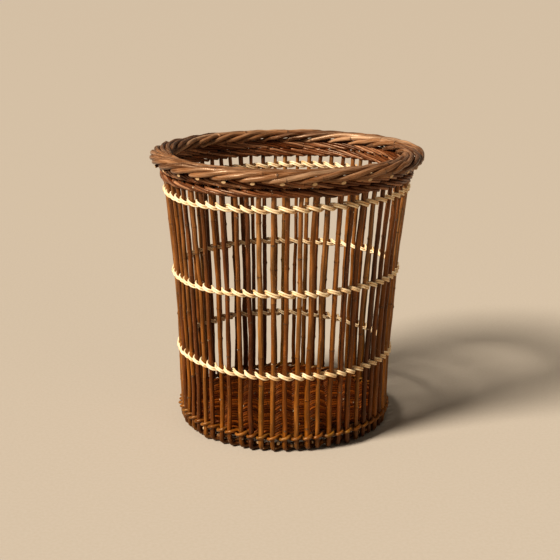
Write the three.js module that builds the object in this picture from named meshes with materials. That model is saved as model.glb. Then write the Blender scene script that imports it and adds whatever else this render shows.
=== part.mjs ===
// A round willow wastebasket: an open wall of upright rods, held by three rows of white
// twining, under a thick rolled border, with a woven base a little above the floor.
// Millimetres, +Z up. The origin is on the floor under the middle of the base, and -Y is
// the front. Every angle is in degrees, from the front, turning towards +X.

import * as THREE from 'three';

// The wall
const STAKE_COUNT = 30; // stakes, each with one bye-stake beside it
const PAIR_ANGLE = 360 / STAKE_COUNT; // from one stake to the next
const ROD_ANGLE = PAIR_ANGLE / 2; // from a stake to its bye-stake
const ROD_RADIUS = 2.5;
const ROD_SIDES = 5;
const FOOT_CIRCLE = 112.6; // radius of the circle through the uprights, on the floor
const FLARE = 20.5; // how much wider that circle is at the full height
const FULL_HEIGHT = 301; // top of the border
const BYE_STAKE_TOP = 287;
const STAKE_BEND = 288; // where a stake starts to turn into the border
const FOOT_BEND = 10; // where an upright starts to turn along the floor
const FOOT_TURN = 1; // turn from an upright to the end of that bend
const FOOT_PRESSED = 0.5; // what lies lower than this is flattened against the floor
const GAP = 0.3; // clearance between pieces that touch on the real basket

// The rows woven round the uprights: height of the row's middle, and the section of a strand
const FITCH_HEIGHTS = { low: 84, middle: 172, top: 261 };
const FITCH_STRAND = { thick: 2, tall: 3.8 };
const FOOT_ROW_HEIGHT = 17;
const FOOT_STRAND = { thick: 3, tall: 3 };
const WALING_HEIGHTS = { lower: 275.7, upper: 283.8 };
const WALING_ROD = { thick: 2.6, tall: 2.4 };
const WALING_OUTSIDE = 2; // uprights that each waling rod passes in front of
const WALING_INSIDE = 2; // and then behind

// The border: the stakes' ends, rolled over a flat core with round edges
const BORDER_CIRCLE = 134.3;
const BORDER_EDGE = 3.6; // radius of the core's round edges, to a rod's centre
const BORDER_FLAT = 12.2; // width of the core's flat middle
const BORDER_START = -70; // where a rod meets the core, below its outer edge
const BORDER_END = 235; // where it ends, below the core's inner edge
const BORDER_LEAD = 6; // turn from a stake to the start of its rod on the core
const BORDER_SWEEP = 64; // turn round the basket that one rod covers on the core
const BORDER_STEPS = 9;
const BORDER_RISE = [
  // how a stake turns under the core, from its bend to BORDER_START
  { turn: 0.8, out: -2, up: -6.2 },
  { turn: 3, out: 1.8, up: -4.5 },
];

// The base: straight rows, from left to right, over and under sticks from front to back
const BASE_HEIGHT = 15; // middle of the base sticks
const BASE_RADIUS = 106.3;
const BASE_STICK_RADIUS = 2.5;
const STICK_COUNT = 11;
const STICK_PITCH = 18.6;
const BASE_ROW_COUNT = 30;
const BASE_ROW_PITCH = 7;
const BASE_ROW = { width: 6.2, thick: 1.8 };
const BASE_TURN = 4; // width of the weaver where it turns back at the end of a row

const BROWN_WILLOW = { color: 0x8f5a34, roughness: 0.5 };
const BORDER_WILLOW = { color: 0x7d5236, roughness: 0.5 };
const WHITE_WILLOW = { color: 0xecd3a2, roughness: 0.55 };
const DARK_WILLOW = { color: 0x5e3119, roughness: 0.6 };

const radians = THREE.MathUtils.degToRad;

// Radius of the circle through the uprights' centres: the wall opens like a bell.
function wallRadius(height) {
  return FOOT_CIRCLE + FLARE * (height / FULL_HEIGHT) ** 2;
}

function place(angle, radius, height) {
  return new THREE.Vector3(radius * Math.sin(radians(angle)), -radius * Math.cos(radians(angle)), height);
}

function onWall(angle, height) {
  return place(angle, wallRadius(height), height);
}

// A smooth curve that is sampled at its own points, so that a rod bends only where they are.
class RodCurve extends THREE.CatmullRomCurve3 {
  getPointAt(part, target) {
    return this.getPoint(part, target);
  }

  getTangentAt(part, target) {
    return this.getTangent(part, target);
  }
}

function rod(points, radius) {
  const corners = [];
  for (let side = 0; side < ROD_SIDES; side += 1) {
    const angle = (2 * Math.PI * side) / ROD_SIDES;
    corners.push(new THREE.Vector2(radius * Math.cos(angle), radius * Math.sin(angle)));
  }
  return new THREE.ExtrudeGeometry(new THREE.Shape(corners), {
    steps: points.length - 1,
    extrudePath: new RodCurve(points),
    bevelEnabled: false,
  });
}

// The line that a rod follows across the border's section, from under the outer edge, over
// the top, to under the inner edge. X is outwards from BORDER_CIRCLE and Y is upwards.
const borderSection = new THREE.Path();
borderSection.absarc(BORDER_FLAT / 2, 0, BORDER_EDGE, radians(BORDER_START), radians(90));
borderSection.lineTo(-BORDER_FLAT / 2, BORDER_EDGE);
borderSection.absarc(-BORDER_FLAT / 2, 0, BORDER_EDGE, radians(90), radians(BORDER_END));
const borderHeight = FULL_HEIGHT - BORDER_EDGE - ROD_RADIUS;

function onBorder(angle, out, up) {
  return place(angle, BORDER_CIRCLE + out, borderHeight + up);
}

// One stake with its bye-stake, as one rod: down the bye-stake, along the floor to the foot
// of the stake, up the stake, and round the border.
function uprightPair() {
  const footCentre = ROD_RADIUS * Math.cos(Math.PI / ROD_SIDES);
  const rows = [FOOT_BEND, ...Object.values(FITCH_HEIGHTS)];
  const points = [onWall(ROD_ANGLE, BYE_STAKE_TOP)];
  for (const height of rows.toReversed()) {
    points.push(onWall(ROD_ANGLE, height));
  }
  points.push(onWall(ROD_ANGLE - FOOT_TURN, footCentre));
  points.push(onWall(FOOT_TURN, footCentre));
  for (const height of rows) {
    points.push(onWall(0, height));
  }
  points.push(onWall(0, STAKE_BEND));
  for (const { turn, out, up } of BORDER_RISE) {
    points.push(onBorder(turn, out, up));
  }
  for (let step = 0; step <= BORDER_STEPS; step += 1) {
    const part = step / BORDER_STEPS;
    const onCore = borderSection.getPoint(part);
    points.push(onBorder(BORDER_LEAD + BORDER_SWEEP * part, onCore.x, onCore.y));
  }
  const geometry = rod(points, ROD_RADIUS);
  standFlat(geometry);
  return geometry;
}

// The foot is pressed flat where it stands on the floor.
function standFlat(geometry) {
  const position = geometry.getAttribute('position');
  for (let index = 0; index < position.count; index += 1) {
    if (position.getZ(index) < FOOT_PRESSED) {
      position.setZ(index, 0);
    }
  }
  geometry.computeVertexNormals();
}

// A closed strand that runs round the basket, in and out between the uprights. Its samples
// are at the two flanks of each upright, a quarter of ROD_ANGLE from its middle, and weave
// says for each whether the strand is outside or inside, and how high in its row.
function strand(height, section, climb, weave) {
  const halfThick = section.thick / 2;
  const halfTall = section.tall / 2;
  const profile = [
    new THREE.Vector2(-halfThick, -halfTall),
    new THREE.Vector2(halfThick, -halfTall),
    new THREE.Vector2(halfThick, halfTall),
    new THREE.Vector2(-halfThick, halfTall),
    new THREE.Vector2(-halfThick, -halfTall),
  ];
  const steps = 4 * STAKE_COUNT;
  const start = radians(-ROD_ANGLE / 4);
  const geometry = new THREE.LatheGeometry(profile, steps, start, 2 * Math.PI);
  const position = geometry.getAttribute('position');
  const clear = ROD_RADIUS + GAP + halfThick;
  for (let step = 0; step <= steps; step += 1) {
    const angle = ((step % steps) * ROD_ANGLE) / 2 - ROD_ANGLE / 4;
    const { side, level } = weave(step % steps);
    for (let corner = 0; corner < profile.length; corner += 1) {
      const up = height + level * climb + profile[corner].y;
      const out = wallRadius(up) + side * clear + profile[corner].x;
      const point = place(angle, out, up);
      position.setXYZ(step * profile.length + corner, point.x, point.y, point.z);
    }
  }
  geometry.computeVertexNormals();
  return geometry;
}

// Twining: each of two strands passes outside one upright and inside the next. The outside
// strokes fall to the right where lean is 1, and rise where it is -1.
function twining(strandNumber, lean) {
  const stroke = [
    { side: 1, level: lean },
    { side: 1, level: -lean },
    { side: -1, level: -lean },
    { side: -1, level: lean },
  ];
  return (step) => stroke[(step + 2 * strandNumber) % stroke.length];
}

// Waling: each rod passes outside some uprights, falling, then inside others, rising, one
// upright behind the rod before it.
function waling(rodNumber) {
  const outside = 2 * WALING_OUTSIDE;
  const inside = 2 * WALING_INSIDE;
  const stroke = [];
  for (let step = 0; step < outside; step += 1) {
    stroke.push({ side: 1, level: 1 - (2 * step) / (outside - 1) });
  }
  for (let step = 0; step < inside; step += 1) {
    stroke.push({ side: -1, level: (2 * step) / (inside - 1) - 1 });
  }
  return (step) => stroke[(step + 2 * rodNumber) % stroke.length];
}

// A base stick, as long as the round base lets it be at its place.
function baseStick(number) {
  const x = (number - (STICK_COUNT - 1) / 2) * STICK_PITCH;
  const y = Math.sqrt(BASE_RADIUS ** 2 - (Math.abs(x) + BASE_STICK_RADIUS) ** 2);
  const ends = [new THREE.Vector3(x, -y, BASE_HEIGHT), new THREE.Vector3(x, y, BASE_HEIGHT)];
  return rod(ends, BASE_STICK_RADIUS);
}

function baseRow(number) {
  const middle = (number - (BASE_ROW_COUNT - 1) / 2) * BASE_ROW_PITCH;
  const front = middle - BASE_ROW.width / 2;
  const back = middle + BASE_ROW.width / 2;
  const reach = Math.sqrt(BASE_RADIUS ** 2 - Math.max(front ** 2, back ** 2));
  return { front, back, reach };
}

// One side of the weave in plan, from the front row to the back one: right where side is 1,
// and left where it is -1. Every second gap between two rows is open at this side, and the
// others are open at the far one.
function rowEnds(side) {
  const points = [];
  for (let number = 0; number < BASE_ROW_COUNT; number += 1) {
    const row = baseRow(number);
    points.push([row.reach, row.front], [row.reach, row.back]);
    if (number + 1 < BASE_ROW_COUNT) {
      const next = baseRow(number + 1);
      const shorter = Math.min(row.reach, next.reach);
      const openHere = (number % 2 === 0) === (side > 0);
      const gapEnd = openHere ? BASE_TURN - shorter : shorter;
      points.push([gapEnd, row.back], [gapEnd, next.front]);
    }
  }
  const isNew = ([x, y], index) => index === 0 || x !== points[index - 1][0] || y !== points[index - 1][1];
  return points.filter(isNew).map(([x, y]) => new THREE.Vector2(side * x, y));
}

// The strokes of the base's weave that lie above the sticks, or those below, as one flat
// weaver that goes to and fro.
function baseWeave(level) {
  const near = BASE_HEIGHT + level * (BASE_STICK_RADIUS + GAP);
  const bottom = level > 0 ? near : near - BASE_ROW.thick;
  const outline = new THREE.Shape([...rowEnds(1), ...rowEnds(-1).toReversed()]);
  const geometry = new THREE.ExtrudeGeometry(outline, { depth: BASE_ROW.thick, bevelEnabled: false });
  geometry.translate(0, 0, bottom);
  return geometry;
}

function numbered(name, number) {
  return `${name}_${String(number).padStart(2, '0')}`;
}

function piece(name, geometry, finish) {
  const mesh = new THREE.Mesh(geometry, new THREE.MeshStandardMaterial({ ...finish, metalness: 0 }));
  mesh.name = name;
  return mesh;
}

function makeWall() {
  const group = new THREE.Group();
  const geometry = uprightPair();
  for (let number = 0; number < STAKE_COUNT; number += 1) {
    const mesh = piece(numbered('upright_pair', number + 1), geometry.clone(), BROWN_WILLOW);
    mesh.rotation.z = radians(number * PAIR_ANGLE);
    group.add(mesh);
  }
  return group;
}

function makeRows() {
  const group = new THREE.Group();
  const twist = (section) => (section.tall + GAP) / 2;
  for (const [row, height] of Object.entries(FITCH_HEIGHTS)) {
    for (const number of [0, 1]) {
      const geometry = strand(height, FITCH_STRAND, twist(FITCH_STRAND), twining(number, 1));
      group.add(piece(`fitch_${row}_strand_${number + 1}`, geometry, WHITE_WILLOW));
    }
  }
  for (const number of [0, 1]) {
    const geometry = strand(FOOT_ROW_HEIGHT, FOOT_STRAND, twist(FOOT_STRAND), twining(number, -1));
    group.add(piece(`foot_pairing_strand_${number + 1}`, geometry, BROWN_WILLOW));
  }
  for (const [row, height] of Object.entries(WALING_HEIGHTS)) {
    for (let number = 0; number < WALING_OUTSIDE + WALING_INSIDE; number += 1) {
      const geometry = strand(height, WALING_ROD, WALING_ROD.tall + GAP, waling(number));
      group.add(piece(`waling_${row}_rod_${number + 1}`, geometry, BORDER_WILLOW));
    }
  }
  return group;
}

function makeBase() {
  const group = new THREE.Group();
  for (let number = 0; number < STICK_COUNT; number += 1) {
    group.add(piece(numbered('base_stick', number + 1), baseStick(number), DARK_WILLOW));
  }
  group.add(piece('base_weave_lower', baseWeave(-1), DARK_WILLOW));
  group.add(piece('base_weave_upper', baseWeave(1), DARK_WILLOW));
  return group;
}

const wastebasket = new THREE.Group();
wastebasket.add(makeWall(), makeRows(), makeBase());

export default wastebasket;
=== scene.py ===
"""A willow wastebasket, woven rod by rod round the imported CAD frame.

Metres, +Z up, and -Y is the front. Angles are in degrees from the front, turning
towards +X. Every rod is swept along its own route, with its own taper, buds and bark.
"""

import math

import bpy
import numpy as np
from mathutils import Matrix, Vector


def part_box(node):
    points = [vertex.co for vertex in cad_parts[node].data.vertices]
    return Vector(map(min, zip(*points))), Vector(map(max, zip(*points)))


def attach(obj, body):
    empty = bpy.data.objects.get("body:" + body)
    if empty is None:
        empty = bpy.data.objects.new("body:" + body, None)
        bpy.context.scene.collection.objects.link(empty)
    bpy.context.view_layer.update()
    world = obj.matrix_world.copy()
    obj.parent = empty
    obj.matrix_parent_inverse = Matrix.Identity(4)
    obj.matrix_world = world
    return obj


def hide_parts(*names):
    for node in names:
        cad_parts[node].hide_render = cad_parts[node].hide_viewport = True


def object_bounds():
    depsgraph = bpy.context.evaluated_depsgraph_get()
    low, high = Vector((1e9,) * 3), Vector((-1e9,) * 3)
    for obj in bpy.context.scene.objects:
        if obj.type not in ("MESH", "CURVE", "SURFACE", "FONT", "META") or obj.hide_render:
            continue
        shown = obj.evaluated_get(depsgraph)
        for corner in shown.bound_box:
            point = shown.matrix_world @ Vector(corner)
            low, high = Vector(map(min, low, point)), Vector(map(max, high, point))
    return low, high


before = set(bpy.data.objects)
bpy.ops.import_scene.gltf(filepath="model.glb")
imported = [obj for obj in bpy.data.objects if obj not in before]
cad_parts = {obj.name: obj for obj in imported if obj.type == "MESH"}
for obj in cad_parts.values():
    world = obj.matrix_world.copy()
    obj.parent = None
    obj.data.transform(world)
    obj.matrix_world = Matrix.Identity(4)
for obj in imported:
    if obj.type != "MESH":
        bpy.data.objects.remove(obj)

CAD_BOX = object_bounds()
MM = 0.001

# Sizes of the CAD rods, which the frame doesn't state by itself
ROD_RADIUS = 2.5 * MM
CAD_GAP = 0.3 * MM
FITCH_THICK = 2.0 * MM
FOOT_STRAND_THICK = 3.0 * MM

# The border's core is a flat band with round edges. A stake starts to turn round it at one
# angle of its section and stops at another, and goes this far along the border meanwhile.
BORDER_EDGE = 3.6 * MM
BORDER_FLAT = 12.2 * MM
BORDER_START = -70
BORDER_END = 235
BORDER_LEAD = 6.0
BORDER_SWEEP = 64.0

# Sizes of the rods made here
STAKE_BUTT_RADIUS = 2.75 * MM
BYE_STAKE_BUTT_RADIUS = 2.4 * MM
PEELED_RADIUS = 1.05 * MM
FOOT_STRAND_RADIUS = 1.75 * MM
WALING_RADIUS = 1.6 * MM
BASE_STICK_RADIUS = 2.3 * MM
BASE_WEAVER_RADIUS = 1.6 * MM
ROUTE_STEP = 2.6 * MM

# How many uprights a waling rod passes in front of, and behind
WALING_OUTSIDE = 3
WALING_INSIDE = 3

BASE_ROW_PITCH = 7 * MM

# The real basket leans: its top is this far to the right of its foot
LEAN = 3.3 * MM

# How pale a cut end is, from bark to fresh wood
CLEAN_CUT = 1
DIRTY_CUT = 0.42


def z_range(name):
    low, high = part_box(name)
    return low.z, high.z


def middle(name):
    return sum(z_range(name)) / 2


def reach(*names):
    """How far the named nodes go from the basket's axis."""
    return max(max(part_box(name)[1].x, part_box(name)[1].y) for name in names)


PAIR_NAMES = sorted(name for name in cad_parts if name.startswith("upright_pair_"))
STAKE_COUNT = len(PAIR_NAMES)
UPRIGHT_COUNT = 2 * STAKE_COUNT
ROD_ANGLE = 360 / UPRIGHT_COUNT

FOOT_ROW = middle("foot_pairing_strand_1")
FITCH_ROWS = {row: middle(f"fitch_{row}_strand_1") for row in ("low", "middle", "top")}
WALING_ROWS = {row: middle(f"waling_{row}_rod_1") for row in ("lower", "upper")}
WALING_CAD_RODS = sum(name.startswith("waling_lower_rod_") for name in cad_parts)
WALING_MIDDLE = sum(WALING_ROWS.values()) / 2
WALING_TOP = z_range("waling_upper_rod_1")[1]
BASE_HEIGHT = (z_range("base_weave_lower")[0] + z_range("base_weave_upper")[1]) / 2
BASE_RADIUS = reach("base_weave_upper")
STICK_NAMES = sorted(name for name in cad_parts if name.startswith("base_stick_"))
STICK_PLACES = [sum(corner.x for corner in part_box(name)) / 2 for name in STICK_NAMES]
STICK_PITCH = STICK_PLACES[1] - STICK_PLACES[0]
FULL_HEIGHT = CAD_BOX[1].z
BORDER_CIRCLE = reach(*PAIR_NAMES) - ROD_RADIUS - BORDER_EDGE - BORDER_FLAT / 2
BORDER_HEIGHT = FULL_HEIGHT - ROD_RADIUS - BORDER_EDGE


def wall_curve():
    """The wall's radius is a + b * height ** 2, from the lowest and the highest woven row."""
    found = []
    for name, thick in (("foot_pairing", FOOT_STRAND_THICK), ("fitch_top", FITCH_THICK)):
        strands = f"{name}_strand_1", f"{name}_strand_2"
        top = z_range(strands[0])[1]
        found.append((top, reach(*strands) - thick - CAD_GAP - ROD_RADIUS))
    (low_z, low_r), (high_z, high_r) = found
    b = (high_r - low_r) / (high_z**2 - low_z**2)
    return low_r - b * low_z**2, b


WALL_A, WALL_B = wall_curve()


def wall_radius(height):
    return WALL_A + WALL_B * height**2


def place(angle, radius, height):
    """Points from arrays or numbers: an angle in degrees, a radius and a height."""
    a = np.radians(angle)
    return np.stack(np.broadcast_arrays(radius * np.sin(a), -radius * np.cos(a), height), -1)


def random_for(*seed):
    return np.random.default_rng(list(seed))


# ---------------------------------------------------------------- sweeping a rod

def unit(v):
    return v / np.maximum(np.linalg.norm(v, axis=-1, keepdims=True), 1e-12)


def along_of(route):
    """How far along a route each of its points is."""
    return np.concatenate([[0], np.cumsum(np.linalg.norm(np.diff(route, axis=0), axis=1))])


def outwards_from(route):
    """The level way out from the basket's axis at each point."""
    return unit(route * [1, 1, 0])


def smooth_route(controls, spacing):
    """A Catmull-Rom curve through the control points, sampled at an even spacing."""
    p = np.asarray(controls, float)
    p = np.vstack([2 * p[0] - p[1], p, 2 * p[-1] - p[-2]])
    parts = []
    for k in range(1, len(p) - 2):
        t = np.linspace(0, 1, 24, endpoint=False)[:, None]
        a, b, c, d = p[k - 1 : k + 3]
        parts.append(
            0.5 * (2 * b + (c - a) * t + (2 * a - 5 * b + 4 * c - d) * t**2
                   + (3 * b - a - 3 * c + d) * t**3)
        )
    dense = np.vstack([*parts, p[-2:-1]])
    along = along_of(dense)
    count = max(4, round(along[-1] / spacing))
    wanted = np.linspace(0, along[-1], count + 1)
    return np.stack([np.interp(wanted, along, dense[:, k]) for k in range(3)], -1)


def tangents(points, closed):
    if closed:
        return unit(np.roll(points, -1, axis=0) - np.roll(points, 1, axis=0))
    ends = np.vstack([points[:1], points, points[-1:]])
    return unit(ends[2:] - ends[:-2])


def carried_normals(tangent):
    """Normals that turn as little as they can along the route."""
    last = np.array([0.0, 0.0, 1.0]) if abs(tangent[0, 2]) < 0.7 else np.array([1.0, 0.0, 0.0])
    normals = np.empty_like(tangent)
    for k, t in enumerate(tangent):
        last = last - t * (last @ t)
        last = last / np.linalg.norm(last)
        normals[k] = last
    return normals


class Rod:
    """One swept rod: its points, faces and the values that its bark is painted from."""

    def __init__(self, route, radii, seed, sides=10, closed=False, hint=None, tint=None,
                 bud_gap=45 * MM, rough=0.03, wobble=0.0, rim=0.0, facings=(None, None),
                 cuts=(CLEAN_CUT, CLEAN_CUT)):
        """The hint is the way that the section's first side faces, and rim is the share of
        weathered bark with painted sheen. The facings and the cuts are those of the rod's two ends."""
        rng = random_for(*seed)
        buds = self.place_buds(rng, along_of(route)[-1], bud_gap)
        route, radii, rim, hint = self.sample_at_buds(route, buds, radii, rim, hint)
        count = len(route)
        along = along_of(route)
        tangent = tangents(route, closed)
        if hint is None:
            normal = carried_normals(tangent)
        else:
            normal = unit(hint - tangent * np.sum(hint * tangent, -1, keepdims=True))
        other = np.cross(tangent, normal)
        if wobble:
            route = route + self.wobbled(rng, along, wobble, normal, other, closed)
        turn = np.linspace(0, 2 * math.pi, sides, endpoint=False)
        swell, from_bud = self.swell(rng, along, turn, radii, buds, rough, closed)
        spokes = normal[:, None] * np.cos(turn)[:, None] + other[:, None] * np.sin(turn)[:, None]
        rings = route[:, None] + spokes * (radii[:, None] * swell)[..., None]
        in_mm = radii[:, None] / MM
        grain = np.broadcast_arrays(
            (along / MM)[:, None] + rng.uniform(0, 50000), in_mm * np.cos(turn), in_mm * np.sin(turn)
        )
        tint = rng.uniform(0, 1) if tint is None else tint
        between_buds = np.searchsorted([bud for bud, side in buds], along)
        tones = tint + rng.normal(0, 0.09, len(buds) + 1)
        self.points = rings.reshape(-1, 3)
        self.grain = np.stack(grain, -1).reshape(-1, 3)
        self.bud = from_bud.reshape(-1, 3)
        self.tint = np.repeat(tones[between_buds], sides).clip(0, 1)
        self.rim = np.repeat(rim, sides)
        self.cut = np.zeros(count * sides)
        self.sharp = []
        self.faces = self.tube(count, sides, closed)
        if not closed:
            for end, facing, pale in zip((0, count - 1), facings, cuts):
                self.cap(end, sides, route[end], tangent[end], radii[end], facing, pale, rng)

    @staticmethod
    def place_buds(rng, length, gap):
        """Where the buds were: how far along, and on which side."""
        buds = []
        at = rng.uniform(0.25, 1) * gap
        side = rng.uniform(0, 2 * math.pi)
        while at < length - 4 * MM:
            buds.append((at, side))
            at += gap * rng.uniform(0.55, 1.5)
            side += math.radians(rng.normal(140, 25))
        return buds

    @staticmethod
    def sample_at_buds(route, buds, radii, rim, hint):
        """Adds samples at each bud and beside it, so that its ring stays narrow."""
        route = np.asarray(route, float)
        along = along_of(route)
        beside = [bud + step for bud, side in buds for step in (-1.2 * MM, 0, 1.2 * MM)]
        wanted = np.union1d(along, beside)

        def resampled(values):
            values = np.broadcast_to(np.asarray(values, float), (len(along),))
            return np.interp(wanted, along, values)

        route = np.stack([resampled(route[:, k]) for k in range(3)], -1)
        if hint is not None:
            hint = np.stack([resampled(hint[:, k]) for k in range(3)], -1)
        return route, resampled(radii), resampled(rim), hint

    @staticmethod
    def wobbled(rng, along, size, normal, other, closed):
        """A willow rod is never straight."""
        moved = np.zeros_like(normal)
        length = along[-1]
        for direction in (normal, other):
            for pitch, share in ((130 * MM, 1.0), (62 * MM, 0.55), (31 * MM, 0.25)):
                cycles = length / (pitch * rng.uniform(0.8, 1.25))
                cycles = max(1, round(cycles)) if closed else cycles
                wave = np.sin(2 * math.pi * (cycles * along / length + rng.uniform()))
                moved += direction * (size * share * wave)[:, None]
        return moved

    @staticmethod
    def swell(rng, along, turn, radii, buds, rough, closed):
        """How the section swells along the rod and round it, and the way to the nearest bud."""
        length = along[-1]
        s = along[:, None]
        swell = np.ones((len(along), len(turn)))
        for wave in range(5):
            cycles = length / (rng.uniform(9, 60) * MM)
            cycles = max(1, round(cycles)) if closed else cycles
            phase = rng.uniform(0, 2 * math.pi)
            swell += rough / 2.2 * np.sin(2 * math.pi * cycles * s / length + wave % 4 * turn + phase)
        from_bud = np.full((*swell.shape, 3), 50.0)
        for bud, side in buds:
            far = np.abs(s - bud) / MM
            across = 2 * np.abs(np.sin((turn - side) / 2)) * radii[:, None] / MM
            swell += 0.07 * np.exp(-((far / 1.5) ** 2))
            swell += rng.uniform(0.12, 0.3) * np.exp(-((far / 1.3) ** 2) - (across / 1.2) ** 2)
            nearer = (far < from_bud[..., 0]).nonzero()
            from_bud[nearer] = np.stack(np.broadcast_arrays(far, across, 0.0), -1)[nearer]
        return swell, from_bud

    @staticmethod
    def tube(count, sides, closed):
        rows = np.arange(count if closed else count - 1)[:, None]
        cols = np.arange(sides)[None, :]
        after = (rows + 1) % count
        beside = (cols + 1) % sides
        near, far = rows * sides, after * sides
        corners = near + cols, near + beside, far + beside, far + cols
        return [np.stack(corners, -1).reshape(-1, 4)]

    def cap(self, end, sides, middle, tangent, radius, facing, pale, rng):
        """Closes an end with a knife cut, which faces the given way or slants at random."""
        outward = tangent if end else -tangent
        if facing is None:
            facing = outward + 0.5 * unit(rng.normal(0, 1, 3))
        facing = unit(np.asarray(facing, float))
        ring = np.arange(end * sides, (end + 1) * sides)
        lean = -(self.points[ring] - middle) @ facing / max(outward @ facing, 0.45)
        self.points[ring] += outward * (lean - lean.min())[:, None]
        centre = middle - outward * lean.min() + facing * 0.12 * radius
        inner_ring = centre + 0.86 * (self.points[ring] - centre) + facing * 0.06 * radius
        start = len(self.points)
        self.points = np.vstack([self.points, inner_ring, centre[None]])
        self.grain = np.vstack(
            [self.grain, self.grain[ring] * [1, 0.86, 0.86], self.grain[ring[:1]] * [1, 0, 0]]
        )
        self.bud = np.vstack([self.bud, np.full((sides + 1, 3), 50.0)])
        self.tint = np.append(self.tint, np.full(sides + 1, self.tint[ring[0]]))
        self.rim = np.append(self.rim, np.full(sides + 1, self.rim[ring[0]]))
        self.cut = np.append(self.cut, np.full(sides + 1, pale))
        inner = np.arange(start, start + sides)
        beside = np.roll(np.arange(sides), -1)
        quads = np.stack([ring, ring[beside], inner[beside], inner], -1)
        fan = np.stack([inner, inner[beside], np.full(sides, start + sides)], -1)
        if not end:
            quads, fan = quads[:, ::-1], fan[:, ::-1]
        self.faces += [quads, fan]
        self.sharp += [ring.tolist(), inner.tolist()]


def make_piece(name, rods, material, replaced):
    """One Blender object from one or more rods, which rides on the basket's only body."""
    points, faces, sharp, start = [], [], [], 0
    for rod in rods:
        points.append(rod.points)
        for block in rod.faces:
            faces += (block + start).tolist()
        sharp += [[v + start for v in ring] for ring in rod.sharp]
        start += len(rod.points)
    points = np.vstack(points)
    points[:, 0] += LEAN * points[:, 2] / FULL_HEIGHT
    mesh = bpy.data.meshes.new(name)
    mesh.from_pydata(points.tolist(), [], faces)
    mesh.shade_smooth()
    in_ring = np.full(start, -1)
    for number, ring in enumerate(sharp):
        in_ring[ring] = number
    ends = np.empty(len(mesh.edges) * 2, np.int32)
    mesh.edges.foreach_get("vertices", ends)
    ends = in_ring[ends.reshape(-1, 2)]
    mark = (ends[:, 0] == ends[:, 1]) & (ends[:, 0] >= 0)
    mesh.attributes.new("sharp_edge", "BOOLEAN", "EDGE").data.foreach_set("value", mark)
    for key in ("grain", "bud"):
        values = np.vstack([getattr(rod, key) for rod in rods])
        mesh.attributes.new(key, "FLOAT_VECTOR", "POINT").data.foreach_set("vector", values.ravel())
    for key in ("tint", "rim", "cut"):
        values = np.concatenate([getattr(rod, key) for rod in rods])
        mesh.attributes.new(key, "FLOAT", "POINT").data.foreach_set("value", values)
    mesh.materials.append(material)
    mesh.update()
    piece = bpy.data.objects.new(name, mesh)
    bpy.context.scene.collection.objects.link(piece)
    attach(piece, "root")
    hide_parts(*replaced)


# ---------------------------------------------------------------- materials

class Shader:
    """A node material, built up call by call."""

    def __init__(self, name):
        self.material = bpy.data.materials.new(name)
        self.material.use_nodes = True
        self.tree = self.material.node_tree
        self.tree.nodes.clear()
        self.principled = self.add("ShaderNodeBsdfPrincipled")
        output = self.add("ShaderNodeOutputMaterial")
        self.tree.links.new(self.principled.outputs[0], output.inputs["Surface"])

    def add(self, kind, inputs=None, **settings):
        node = self.tree.nodes.new(kind)
        for key, value in settings.items():
            setattr(node, key, value)
        for key, value in (inputs or {}).items():
            self.feed(node.inputs[key], value)
        return node

    def feed(self, socket, value):
        if isinstance(value, bpy.types.NodeSocket):
            self.tree.links.new(value, socket)
        else:
            socket.default_value = value

    def attribute(self, name, vector=False):
        node = self.add("ShaderNodeAttribute", attribute_name=name)
        return node.outputs["Vector" if vector else "Fac"]

    def maths(self, operation, a, b=0.0):
        return self.add("ShaderNodeMath", {0: a, 1: b}, operation=operation).outputs[0]

    def scaled(self, vector, scale):
        return self.add("ShaderNodeVectorMath", {0: vector, 1: scale}, operation="MULTIPLY").outputs[0]

    def noise(self, vector, scale, detail=3.0, roughness=0.5):
        inputs = {"Vector": vector, "Scale": scale, "Detail": detail, "Roughness": roughness}
        return self.add("ShaderNodeTexNoise", inputs).outputs["Fac"]

    def spread(self, value, low, high, to_low=0.0, to_high=1.0):
        inputs = {"Value": value, "From Min": low, "From Max": high, "To Min": to_low, "To Max": to_high}
        return self.add("ShaderNodeMapRange", inputs, interpolation_type="SMOOTHSTEP").outputs[0]

    def ramp(self, value, stops):
        node = self.add("ShaderNodeValToRGB", {"Fac": value})
        ramp = node.color_ramp
        while len(ramp.elements) < len(stops):
            ramp.elements.new(0.5)
        for element, (position, colour) in zip(ramp.elements, stops):
            element.position = position
            element.color = (*colour, 1)
        return node.outputs["Color"]

    def mix(self, share, a, b, blend="MIX"):
        node = self.add("ShaderNodeMix", data_type="RGBA", blend_type=blend)
        for socket, value in zip((node.inputs[0], node.inputs[6], node.inputs[7]), (share, a, b)):
            self.feed(socket, (*value, 1) if isinstance(value, tuple) else value)
        return node.outputs[2]


def bud_masks(s):
    """The dark ring round a rod at a bud, and the scar on one side of it, with its pale eye."""
    parts = s.add("ShaderNodeSeparateXYZ", {"Vector": s.attribute("bud", vector=True)}).outputs
    near = s.maths("SQRT", s.maths("ADD", s.maths("POWER", parts[0], 2), s.maths("POWER", parts[1], 2)))
    ring = s.maths("MULTIPLY", s.spread(parts[0], 0.3, 0.95, 1.0, 0.0), s.spread(parts[1], 2, 5, 1, 0.25))
    return ring, s.spread(near, 0.9, 1.7, 1.0, 0.0), s.spread(near, 0.5, 1.1, 1.0, 0.0)


def height_above_floor(s):
    inputs = {"Vector": s.add("ShaderNodeTexCoord").outputs["Object"]}
    return s.add("ShaderNodeSeparateXYZ", inputs).outputs[2]


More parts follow.
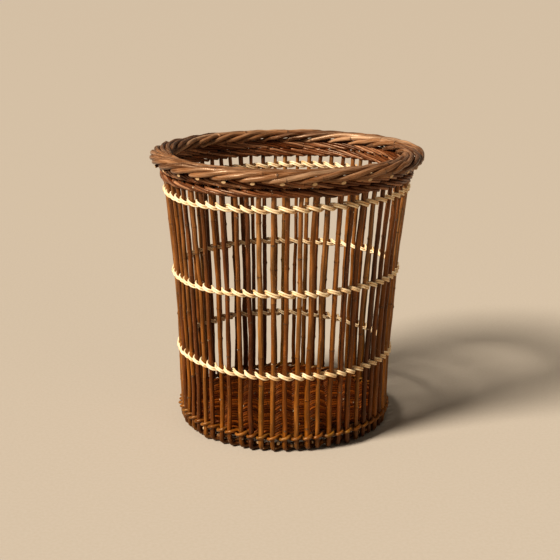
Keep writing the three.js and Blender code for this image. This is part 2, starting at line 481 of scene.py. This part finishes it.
def bark(name, tints, rim_tints=None, rough=0.35, gloss=0.5):
    """Willow bark: long streaks, patches, lenticels and bud scars, and pale wood where cut. It
    is darker near the floor, where shade is painted into it."""
    s = Shader(name)
    grain = s.attribute("grain", vector=True)
    streaks = s.noise(s.scaled(grain, (0.035, 1.0, 1.0)), 1.3, 4.0, 0.6)
    patches = s.noise(s.scaled(grain, (0.03, 0.12, 0.12)), 1.0, 2.0)
    fine = s.noise(s.scaled(grain, (0.25, 1.6, 1.6)), 2.2, 3.0, 0.65)
    colour = s.ramp(s.attribute("tint"), tints)
    if rim_tints:
        # Where rim is high, the paler and greyer border tints: weathered bark and painted sheen.
        colour = s.mix(s.attribute("rim"), colour, s.ramp(s.attribute("tint"), rim_tints))
    shade = s.spread(streaks, 0.3, 0.7, 0.52, 1.36)
    shade = s.maths("MULTIPLY", shade, s.spread(patches, 0.3, 0.7, 0.68, 1.28))
    shade = s.maths("MULTIPLY", shade, s.spread(fine, 0.3, 0.7, 0.86, 1.12))
    # Painted shade: the bark darkens towards the floor, by height alone.
    shade = s.maths("MULTIPLY", shade, s.spread(height_above_floor(s), 2 * MM, 22 * MM, 0.55, 1.0))
    grey = s.add("ShaderNodeCombineColor", {"Red": shade, "Green": shade, "Blue": shade}).outputs[0]
    colour = s.mix(1.0, colour, grey, "MULTIPLY")
    # A pale taupe film along the streaks where rim is high: willow bloom and painted sheen.
    bloom_and_sheen = s.maths("MULTIPLY", s.spread(streaks, 0.42, 0.68, 0.0, 0.55), s.attribute("rim"))
    colour = s.mix(bloom_and_sheen, colour, (0.36, 0.235, 0.145))
    dots = {"Vector": s.scaled(grain, (0.3, 0.55, 0.55)), "Scale": 1.0}
    dots = s.add("ShaderNodeTexVoronoi", dots, feature="F1").outputs["Distance"]
    lenticels = s.spread(dots, 0.1, 0.17, 0.6, 0.0)
    colour = s.mix(lenticels, colour, (0.42, 0.25, 0.13))
    ring, scar, eye = bud_masks(s)
    colour = s.mix(s.maths("MULTIPLY", ring, 0.6), colour, (0.05, 0.02, 0.008))
    colour = s.mix(s.maths("MULTIPLY", scar, 0.8), colour, (0.045, 0.02, 0.01))
    rubbed = s.spread(s.noise(s.scaled(grain, (0.04, 0.0, 0.0)), 1.0, 0.0), 0.5, 0.6, 0.15, 0.9)
    colour = s.mix(s.maths("MULTIPLY", eye, rubbed), colour, (0.60, 0.42, 0.26))
    wood = s.noise(s.scaled(grain, (1.0, 1.4, 1.4)), 2.0)
    wood = s.mix(wood, (0.42, 0.26, 0.12), (0.70, 0.50, 0.29))
    cut = s.spread(s.attribute("cut"), 0.35, 0.65)
    s.feed(s.principled.inputs["Base Color"], s.mix(cut, colour, wood))
    dullness = s.maths("ADD", s.spread(streaks, 0.3, 0.7, rough - 0.07, rough + 0.1),
                       s.maths("MULTIPLY", cut, 0.3))
    dullness = s.maths("SUBTRACT", dullness, s.maths("MULTIPLY", s.attribute("rim"), 0.06))
    s.feed(s.principled.inputs["Roughness"], dullness)
    height = s.maths("ADD", s.maths("MULTIPLY", streaks, 0.7), s.maths("MULTIPLY", fine, 0.45))
    height = s.maths("SUBTRACT", s.maths("ADD", height, lenticels), s.maths("MULTIPLY", ring, 0.8))
    bump = s.add("ShaderNodeBump", {"Height": height, "Distance": 0.2 * MM, "Strength": 0.8})
    s.feed(s.principled.inputs["Normal"], bump.outputs[0])
    s.principled.inputs["Specular IOR Level"].default_value = gloss
    s.principled.inputs["Specular Tint"].default_value = (1.0, 0.72, 0.48, 1)
    return s.material


def peeled(name):
    """Peeled willow: cream wood with fine long fibres, tan patches and a soft shine."""
    s = Shader(name)
    grain = s.attribute("grain", vector=True)
    fibres = s.noise(s.scaled(grain, (0.06, 2.4, 2.4)), 1.6, 4.0, 0.6)
    patches = s.noise(s.scaled(grain, (0.05, 0.2, 0.2)), 1.0, 2.0)
    colour = s.mix(s.spread(patches, 0.42, 0.75), (0.90, 0.70, 0.43), (0.68, 0.39, 0.16))
    colour = s.mix(s.spread(fibres, 0.48, 0.7, 0.0, 0.65), colour, (0.50, 0.25, 0.09))
    ring, scar, _ = bud_masks(s)
    colour = s.mix(s.maths("MULTIPLY", ring, 0.4), colour, (0.4, 0.22, 0.1))
    colour = s.mix(s.maths("MULTIPLY", scar, 0.5), colour, (0.4, 0.22, 0.1))
    s.feed(s.principled.inputs["Base Color"], colour)
    s.feed(s.principled.inputs["Roughness"], s.spread(fibres, 0.3, 0.7, 0.34, 0.5))
    bump = s.add("ShaderNodeBump", {"Height": fibres, "Distance": 0.12 * MM, "Strength": 0.7})
    s.feed(s.principled.inputs["Normal"], bump.outputs[0])
    s.principled.inputs["Specular IOR Level"].default_value = 0.75
    s.principled.inputs["Specular Tint"].default_value = (1.0, 0.84, 0.62, 1)
    return s.material


# Colours of the bark, for the rods' tints from 0 to 1
WALL_TINTS = [
    (0.0, (0.085, 0.022, 0.004)),
    (0.3, (0.138, 0.039, 0.004)),
    (0.55, (0.188, 0.060, 0.004)),
    (0.8, (0.225, 0.083, 0.014)),
    (1.0, (0.200, 0.088, 0.010)),
]
# The border's bark, paler and greyer: weathered bark and painted sheen on its top.
BORDER_TINTS = [
    (0.0, (0.075, 0.020, 0.004)),
    (0.4, (0.185, 0.070, 0.021)),
    (0.75, (0.295, 0.135, 0.056)),
    (1.0, (0.44, 0.250, 0.135)),
]
WALING_TINTS = [
    (0.0, (0.080, 0.019, 0.003)),
    (0.5, (0.170, 0.057, 0.018)),
    (1.0, (0.345, 0.165, 0.080)),
]
BASE_TINTS = [
    (0.0, (0.090, 0.016, 0.0012)),
    (1.0, (0.250, 0.064, 0.005)),
]

wall_bark = bark("wall_bark", WALL_TINTS, BORDER_TINTS)
waling_bark = bark("waling_bark", WALING_TINTS)
base_bark = bark("base_bark", BASE_TINTS, rough=0.5, gloss=0.22)
peeled_wood = peeled("peeled_wood")


# ---------------------------------------------------------------- the uprights

# Each upright wanders a little from its place in the CAD frame. The wander is set at these
# heights, so that the woven rows can follow it.
WANDER_HEIGHTS = np.array(
    [0, FOOT_ROW, 50 * MM, FITCH_ROWS["low"], 128 * MM, FITCH_ROWS["middle"], 217 * MM,
     FITCH_ROWS["top"], WALING_MIDDLE, FULL_HEIGHT]
)
WOVEN = np.isin(WANDER_HEIGHTS, [FOOT_ROW, *FITCH_ROWS.values(), WALING_MIDDLE])


def make_wander():
    rng = random_for(1)
    sideways = rng.normal(0, 0.75 * MM, (UPRIGHT_COUNT, 1)).clip(-1.5 * MM, 1.5 * MM)
    sideways = sideways + rng.normal(0, 0.42 * MM, (UPRIGHT_COUNT, len(WANDER_HEIGHTS)))
    outwards = rng.normal(0, 0.5 * MM, (UPRIGHT_COUNT, len(WANDER_HEIGHTS)))
    outwards[:, WOVEN] *= 0.25
    return sideways, outwards


SIDEWAYS, OUTWARDS = make_wander()


def upright_at(number, height):
    """Angle and radius of an upright's middle at a height."""
    side = np.interp(height, WANDER_HEIGHTS, SIDEWAYS[number])
    out = np.interp(height, WANDER_HEIGHTS, OUTWARDS[number])
    radius = wall_radius(height) + out
    return number * ROD_ANGLE + np.degrees(side / radius), radius


def upright_radius(number, height):
    """Stakes are thicker than bye-stakes, and all of them taper upwards."""
    rng = random_for(2, number)
    butt = (BYE_STAKE_BUTT_RADIUS if number % 2 else STAKE_BUTT_RADIUS) * rng.uniform(0.9, 1.1)
    return butt * (1 - 0.13 * height / FULL_HEIGHT)


def weathering_and_sheen(route):
    """The share of weathered bark with painted sheen, which grows towards the top of the wall."""
    return 0.25 * np.clip((route[:, 2] - 70 * MM) / (200 * MM), 0, 1)


def upright_radii(number, route):
    """The radius all along an upright, whose cut end at the foot is thinner."""
    radii = np.array([upright_radius(number, z) for z in np.minimum(route[:, 2], WALING_TOP)])
    return radii * np.interp(along_of(route), [0, 24 * MM], [0.72, 1])


# The way back from an upright's cut end to where it stands, in degrees, mm inwards and mm up.
# It passes behind the next upright, and its end lies between that one and the one after.
FOOT_TURN = [(7.4, 5.6, 6.6), (5.0, 7.4, 4.8), (2.8, 6.2, 3.5), (1.0, 3.2, 3.2)]


def foot_route(number):
    angle, radius = upright_at(number, 0.0)
    rng = random_for(14, number)
    route = [place(angle + turn, radius - inwards * MM, up * MM) for turn, inwards, up in FOOT_TURN]
    inwards, up = rng.uniform(0.6, 3.6) * MM, rng.uniform(6.5, 10.5) * MM
    end = place(angle + rng.uniform(8.9, 10.4), radius - inwards, up)
    return [end, *route, place(angle + 0.3, radius - 0.6 * MM, 4.6 * MM)]


def wall_route(number, top):
    route = []
    for height in np.arange(9 * MM, top - 8 * MM, 11 * MM):
        angle, radius = upright_at(number, height)
        route.append(place(angle, radius, height))
    angle, radius = upright_at(number, top)
    return [*route, place(angle, radius, top)]


def border_section(part):
    """Where a rod's middle lies on the border's core: outwards and up from its centre."""
    arcs = math.radians(90 - BORDER_START), math.radians(BORDER_END - 90)
    lengths = arcs[0] * BORDER_EDGE, BORDER_FLAT, arcs[1] * BORDER_EDGE
    at = part * sum(lengths)
    if at < lengths[0]:
        a = math.radians(BORDER_START) + at / BORDER_EDGE
        return BORDER_FLAT / 2 + BORDER_EDGE * math.cos(a), BORDER_EDGE * math.sin(a)
    if at < lengths[0] + lengths[1]:
        return BORDER_FLAT / 2 - (at - lengths[0]), BORDER_EDGE
    a = math.radians(90) + (at - lengths[0] - lengths[1]) / BORDER_EDGE
    return -BORDER_FLAT / 2 + BORDER_EDGE * math.cos(a), BORDER_EDGE * math.sin(a)


# How a stake turns under the border's core, and how its tip comes back out under it, in
# degrees, mm outwards and mm up from the core's centre
BORDER_RISE = [(0.9, -2.0, -6.0), (3.0, 1.8, -4.5)]
BORDER_TIP = [(1.8, -7.4, -4.4), (4.2, -5.2, -5.4), (6.2, -2.6, -5.8), (8.4, 1.0, -6.0),
              (10.2, 4.4, -6.2), (11.6, 7.3, -6.4)]


def border_route(number):
    rng = random_for(3, number)
    angle, _ = upright_at(number, WALING_TOP)

    def on_border(turn, out, up):
        return place(angle + turn, BORDER_CIRCLE + out, BORDER_HEIGHT + up)

    route = [on_border(turn, out * MM, up * MM) for turn, out, up in BORDER_RISE]
    steps = 16
    for step in range(steps + 1):
        part = step / steps
        out, up = border_section(part)
        out += rng.normal(0, 0.18 * MM)
        up += rng.normal(0, 0.18 * MM)
        route.append(on_border(BORDER_LEAD + BORDER_SWEEP * part, out, up))
    end = BORDER_LEAD + BORDER_SWEEP
    return route + [on_border(end + turn, out * MM, up * MM) for turn, out, up in BORDER_TIP]


def facing_on(route):
    """The way that a foot's cut faces: on along the rod, and a little outwards."""
    return unit(route[0] - route[4]) + 0.12 * outwards_from(route[0])


def foot_cut(number):
    """About half of the feet's cuts are still clean."""
    clean_share = 0.5
    return CLEAN_CUT if random_for(15, number).uniform() < clean_share else DIRTY_CUT


def facing_out(point, up):
    """The way that a cut faces: straight out of the wall, tilted up or down."""
    return outwards_from(point) + [0, 0, up]


def make_stake(pair):
    """A stake stands in the wall, and its bark and thickness change as it enters the border."""
    number = 2 * pair
    low, high = foot_route(number), wall_route(number, WALING_TOP - 1.5 * MM)
    route = smooth_route([*low, *high, *border_route(number)], ROUTE_STEP)
    along = along_of(route)
    border_underside = BORDER_HEIGHT - 5.6 * MM
    in_border = np.argmax(route[:, 2] > border_underside)
    from_border = along - along[in_border]
    rim = np.clip(from_border / (9 * MM), 0, 1)
    stages = [0, 20 * MM, 150 * MM, from_border[-1]]
    rolled = np.interp(from_border, stages, np.array([2.5, 2.75, 2.55, 1.75]) * MM)
    radii = upright_radii(number, route) * (1 - rim) + rolled * rim
    facings = facing_on(route), facing_out(route[-1], -0.3)
    # The rim share paints sheen on the border and the wall's top, besides weathered bark.
    rod = Rod(route, radii, (4, pair), sides=12, rim=np.maximum(rim, weathering_and_sheen(route)),
              wobble=0.2 * MM, facings=facings, cuts=(foot_cut(number), CLEAN_CUT))
    make_piece(f"stake_{pair + 1:02d}", [rod], wall_bark, [PAIR_NAMES[pair]])


def make_bye_stake(pair):
    """Most bye-stakes end inside the waling. A few are cut short below it."""
    number = 2 * pair + 1
    short_share = 0.16
    short = random_for(5, pair).uniform() < short_share
    top = FITCH_ROWS["top"] + 8 * MM if short else WALING_TOP - 2 * MM
    route = smooth_route([*foot_route(number), *wall_route(number, top)], ROUTE_STEP)
    facings = facing_on(route), facing_out(route[-1], 1.2)
    rod = Rod(route, upright_radii(number, route), (6, pair), sides=12, rim=weathering_and_sheen(route),
              wobble=0.2 * MM, facings=facings, cuts=(foot_cut(number), CLEAN_CUT))
    make_piece(f"bye_stake_{pair + 1:02d}", [rod], wall_bark, [PAIR_NAMES[pair]])


# ---------------------------------------------------------------- the woven rows

# How far each row rises from the basket's middle to its right side
ROW_TILTS = {"foot": 0.0, "low": -1.9 * MM, "middle": 1.2 * MM, "top": 1.7 * MM, "waling": 0.4 * MM}


def upright_lines(height):
    """Angle, radius and thickness of every upright at a height, with the first repeated."""
    found = [(*upright_at(n, height), upright_radius(n, height)) for n in range(UPRIGHT_COUNT)]
    found.append((found[0][0] + 360, found[0][1], found[0][2]))
    return np.array(found).T


def row_wave(row, at):
    """A woven row isn't quite level: how far it rises at each upright."""
    rng = random_for(7, list(ROW_TILTS).index(row))
    turn = 2 * math.pi * at / UPRIGHT_COUNT
    rise = ROW_TILTS[row] * np.sin(turn)
    rise += 0.5 * MM * np.sin(3 * turn + rng.uniform(0, 2 * math.pi))
    return rise + 0.3 * MM * np.sin(7 * turn + rng.uniform(0, 2 * math.pi))


def weaver_route(height, row, offset, lift):
    """A closed route round the wall. At each place, counted in uprights, offset says how
    far it is out of the wall, and lift how far up."""
    steps = 8
    at = np.arange(UPRIGHT_COUNT * steps) / steps
    numbers = np.arange(UPRIGHT_COUNT + 1)
    angles, radii, thick = upright_lines(height)
    rise = row_wave(row, at) + lift(at)
    radius = np.interp(at, numbers, radii) + wall_radius(height + rise) - wall_radius(height)
    clear = np.interp(at, numbers, thick)
    return place(np.interp(at, numbers, angles), radius + offset(at, clear), height + rise)


def flattened(wave, hardness=1.5):
    """A wave that stays longer near its ends."""
    return np.tanh(hardness * wave) / math.tanh(hardness)


def straightened(wave):
    """A wave that runs straight from one end to the other, with a small bend at each end."""
    sharpness = 0.95
    return np.arcsin(sharpness * wave) / math.asin(sharpness)


def twining_route(height, row, strand, lean, thick, climb, tight=0.0, hardness=1.5):
    """One of two strands that twist about the uprights. Where lean is 1 the outside strokes
    fall to the right. The more tight it is, the shorter they are."""
    def offset(at, clear):
        return (clear + thick) * flattened(np.cos(math.pi * (at + strand)) - tight, hardness)

    def lift(at):
        return -lean * climb * straightened(np.sin(math.pi * (at + strand)))

    return weaver_route(height, row, offset, lift)


def make_fitch(row, strand):
    """A white strand is two peeled rods, side by side."""
    number = list(FITCH_ROWS).index(row)
    climb = 2.2 * MM
    middle_line = twining_route(FITCH_ROWS[row], row, strand, 1, PEELED_RADIUS, climb)
    outwards = outwards_from(middle_line)
    across = unit(np.cross(tangents(middle_line, True), outwards))
    rods = []
    for side in (-1, 1):
        rng = random_for(8, number, strand, side + 1)
        turn = 2 * math.pi * np.arange(len(middle_line)) / len(middle_line)
        waves = np.sin(13 * turn + rng.uniform(0, 6)) * np.sin(5 * turn + rng.uniform(0, 6))
        slack = 0.12 * MM * waves
        route = middle_line + across * (side * PEELED_RADIUS + slack)[:, None]
        rods.append(Rod(route, PEELED_RADIUS, (8, number, strand, side + 1), sides=8, closed=True,
                        hint=outwards, bud_gap=70 * MM))
    make_piece(f"{row}_fitch_weaver_{strand + 1}", rods, peeled_wood,
               [f"fitch_{row}_strand_{strand + 1}"])


def make_foot_pairing(strand):
    """Two brown rods twine about the uprights at the height of the base."""
    route = twining_route(FOOT_ROW, "foot", strand, -1, 0.75 * FOOT_STRAND_RADIUS,
                          FOOT_STRAND_RADIUS, tight=0.3, hardness=2.6)
    rod = Rod(route, FOOT_STRAND_RADIUS, (9, strand), closed=True, hint=outwards_from(route),
              tint=0.8 - 0.2 * strand, bud_gap=30 * MM, rough=0.1)
    make_piece(f"foot_weaver_{strand + 1}", [rod], wall_bark,
               [f"foot_pairing_strand_{strand + 1}"])


def make_waling(row, number):
    """A waling rod goes in front of three uprights, falling, and behind three, rising. Where
    it comes out of the wall it keeps to the right of the rod that goes in."""
    period = WALING_OUTSIDE + WALING_INSIDE
    climb = 3.75 * MM
    apart = 0.13
    crossing = 0.26
    order = list(WALING_ROWS).index(row)
    slack = random_for(16, order, number).normal(0, 0.35 * MM, UPRIGHT_COUNT)
    slack = np.append(slack, slack[0])

    def phase(at):
        return (at + number + 0.5) % period

    def offset(at, clear):
        p = phase(at)
        comes_out = np.tanh((np.minimum(p, period - 1) - apart) / crossing)
        comes_out = np.where(p > period - 1, np.tanh((p - period - apart) / crossing), comes_out)
        goes_in = -np.tanh((p - WALING_OUTSIDE + apart) / crossing)
        return (clear + WALING_RADIUS) * np.where((p > 1) & (p <= period - 1), goes_in, comes_out)

    def lift(at):
        p = phase(at)
        falling = 1 - 2 * p / WALING_OUTSIDE
        rising = 2 * (p - WALING_OUTSIDE) / WALING_INSIDE - 1
        uneven = np.interp(at, np.arange(UPRIGHT_COUNT + 1), slack)
        return climb * np.where(p < WALING_OUTSIDE, falling, rising) + uneven

    height = WALING_ROWS[row] + (1.2 + 0.8 * order) * MM
    route = weaver_route(height, "waling", offset, lift)
    rod = Rod(route, WALING_RADIUS, (10, order, number), sides=8, closed=True,
              hint=outwards_from(route), rough=0.08, wobble=0.2 * MM)
    make_piece(f"{row}_waling_weaver_{number + 1}", [rod], waling_bark,
               [f"waling_{row}_rod_{number % WALING_CAD_RODS + 1}"])


# ---------------------------------------------------------------- the base

def half_chord(at):
    """How far the round base reaches to each side, this far from its middle."""
    return math.sqrt(max(BASE_RADIUS**2 - at**2, 0))


def make_base_stick(number):
    """The sticks of the base lie from front to back."""
    x = STICK_PLACES[number]
    reach_y = half_chord(abs(x) + BASE_STICK_RADIUS) - 0.5 * MM
    route = [(x, y, BASE_HEIGHT) for y in np.linspace(-reach_y, reach_y, 60)]
    rod = Rod(np.array(route), BASE_STICK_RADIUS, (11, number), wobble=0.25 * MM)
    make_piece(f"base_stick_{number + 1}", [rod], base_bark, [STICK_NAMES[number]])


def base_row(row_at, strand, start, end, sway):
    """One of two strands that twist about the sticks in a straight row. Its strokes over the
    sticks go a little back as they go to the right."""
    count = max(2, round(abs(end - start) / (STICK_PITCH / 6)))
    x = np.linspace(start, end, count + 1)
    twist = math.pi * (x / STICK_PITCH + strand)
    up = (BASE_STICK_RADIUS + BASE_WEAVER_RADIUS) * flattened(np.cos(twist), 1.2)
    back = 0.24 * BASE_ROW_PITCH * np.sin(twist) + sway * np.sin(x / (37 * MM) + sway / MM)
    return np.stack([x, row_at + back, BASE_HEIGHT + up], -1)


def make_base_rows(number, count):
    """Two rows of the base. Their strands go along the first row, turn back round its last
    stick, and end where the second row ends."""
    rng = random_for(12, number)
    rows = [(2 * number + row - count + 0.5) * BASE_ROW_PITCH for row in (0, 1)]
    reaches = [half_chord(abs(row) + BASE_WEAVER_RADIUS) - 1 * MM for row in rows]
    side = 1 if number % 2 else -1
    turn_at = side * (min(reaches) - 0.5 * BASE_ROW_PITCH)
    rods = []
    for strand in (0, 1):
        sway = rng.normal(0, 0.5 * MM, 2).clip(-0.8 * MM, 0.8 * MM)
        first = base_row(rows[0], strand, -side * reaches[0], turn_at, sway[0])
        second = base_row(rows[1], strand + 1, turn_at, -side * reaches[1], sway[1])
        lift = (1 - 2 * strand) * BASE_WEAVER_RADIUS
        turn = [(turn_at + side * 0.45 * BASE_ROW_PITCH, sum(rows) / 2, BASE_HEIGHT + lift)]
        route = smooth_route(np.vstack([first, turn, second]), 2 * MM)
        thick = BASE_WEAVER_RADIUS * rng.uniform(0.9, 1.06)
        hint = np.broadcast_to(np.array([0.0, 0.0, 1.0]), route.shape)
        rods.append(Rod(route, thick, (13, number, strand), sides=8, hint=hint, rough=0.08))
    make_piece(f"base_rows_{number + 1}", rods, base_bark,
               ["base_weave_lower", "base_weave_upper"])


# ---------------------------------------------------------------- light and camera

# The floor's half width and the camera's place in metres, how far down it looks in degrees,
# and its lens in millimetres
FLOOR_HALF = 60
CAMERA_PLACE = (-0.0043, -1.2696, 0.5026)
CAMERA_TILT = 15.3
CAMERA_LENS = 77.1


def make_floor():
    s = Shader("pale_floor")
    where = s.add("ShaderNodeTexCoord").outputs["Object"]
    tone = s.spread(s.noise(where, 300.0, 2.0), 0.3, 0.7)
    s.feed(s.principled.inputs["Base Color"], s.mix(tone, (0.465, 0.390, 0.305), (0.48, 0.405, 0.32)))
    s.principled.inputs["Roughness"].default_value = 0.9
    s.principled.inputs["Specular IOR Level"].default_value = 0.1
    corners = [(-FLOOR_HALF, -FLOOR_HALF, 0), (FLOOR_HALF, -FLOOR_HALF, 0),
               (FLOOR_HALF, FLOOR_HALF, 0), (-FLOOR_HALF, FLOOR_HALF, 0)]
    mesh = bpy.data.meshes.new("floor")
    mesh.from_pydata(corners, [], [(0, 1, 2, 3)])
    mesh.materials.append(s.material)
    floor = bpy.data.objects.new("floor", mesh)
    bpy.context.scene.collection.objects.link(floor)


def aim(lamp, location, target):
    lamp.location = location
    lamp.rotation_euler = (Vector(target) - Vector(location)).to_track_quat("-Z", "Y").to_euler()
    bpy.context.scene.collection.objects.link(lamp)


def make_lights():
    """Soft daylight from the front left, and a weak fill from the front right."""
    key = bpy.data.lights.new("key", "SUN")
    key.energy = 5.3
    key.angle = math.radians(18)
    key.color = (1.0, 0.965, 0.91)
    aim(bpy.data.objects.new("key", key), (-1.25, -0.85, 1.3), (0, 0, 0))
    fill = bpy.data.lights.new("fill", "AREA")
    fill.shape = "DISK"
    fill.size = 1.2
    fill.energy = 3.5
    fill.color = (1.0, 0.97, 0.93)
    aim(bpy.data.objects.new("fill", fill), (1.3, -1.7, 1.0), (0, 0, 0.15))


def make_world():
    world = bpy.data.worlds.new("studio")
    world.use_nodes = True
    background = world.node_tree.nodes["Background"]
    background.inputs["Color"].default_value = (1.0, 0.91, 0.80, 1)
    background.inputs["Strength"].default_value = 0.13
    bpy.context.scene.world = world


def make_camera():
    camera = bpy.data.cameras.new("camera")
    camera.sensor_width = 36
    camera.lens = CAMERA_LENS
    camera.clip_end = 50
    camera.dof.use_dof = False
    eye = bpy.data.objects.new("camera", camera)
    eye.location = CAMERA_PLACE
    eye.rotation_euler = (math.radians(90 - CAMERA_TILT), 0, 0)
    bpy.context.scene.collection.objects.link(eye)
    bpy.context.scene.camera = eye


make_camera()
make_world()
make_floor()
make_lights()
bpy.context.scene.view_settings.view_transform = "Standard"
bpy.context.scene.view_settings.look = "Medium High Contrast"

for pair in range(STAKE_COUNT):
    make_stake(pair)
    make_bye_stake(pair)
for strand in (0, 1):
    for row in FITCH_ROWS:
        make_fitch(row, strand)
    make_foot_pairing(strand)
for row in WALING_ROWS:
    for number in range(WALING_OUTSIDE + WALING_INSIDE):
        make_waling(row, number)
for number in range(len(STICK_NAMES)):
    make_base_stick(number)
base_turns = math.floor(BASE_RADIUS / BASE_ROW_PITCH)
for number in range(base_turns):
    make_base_rows(number, base_turns)
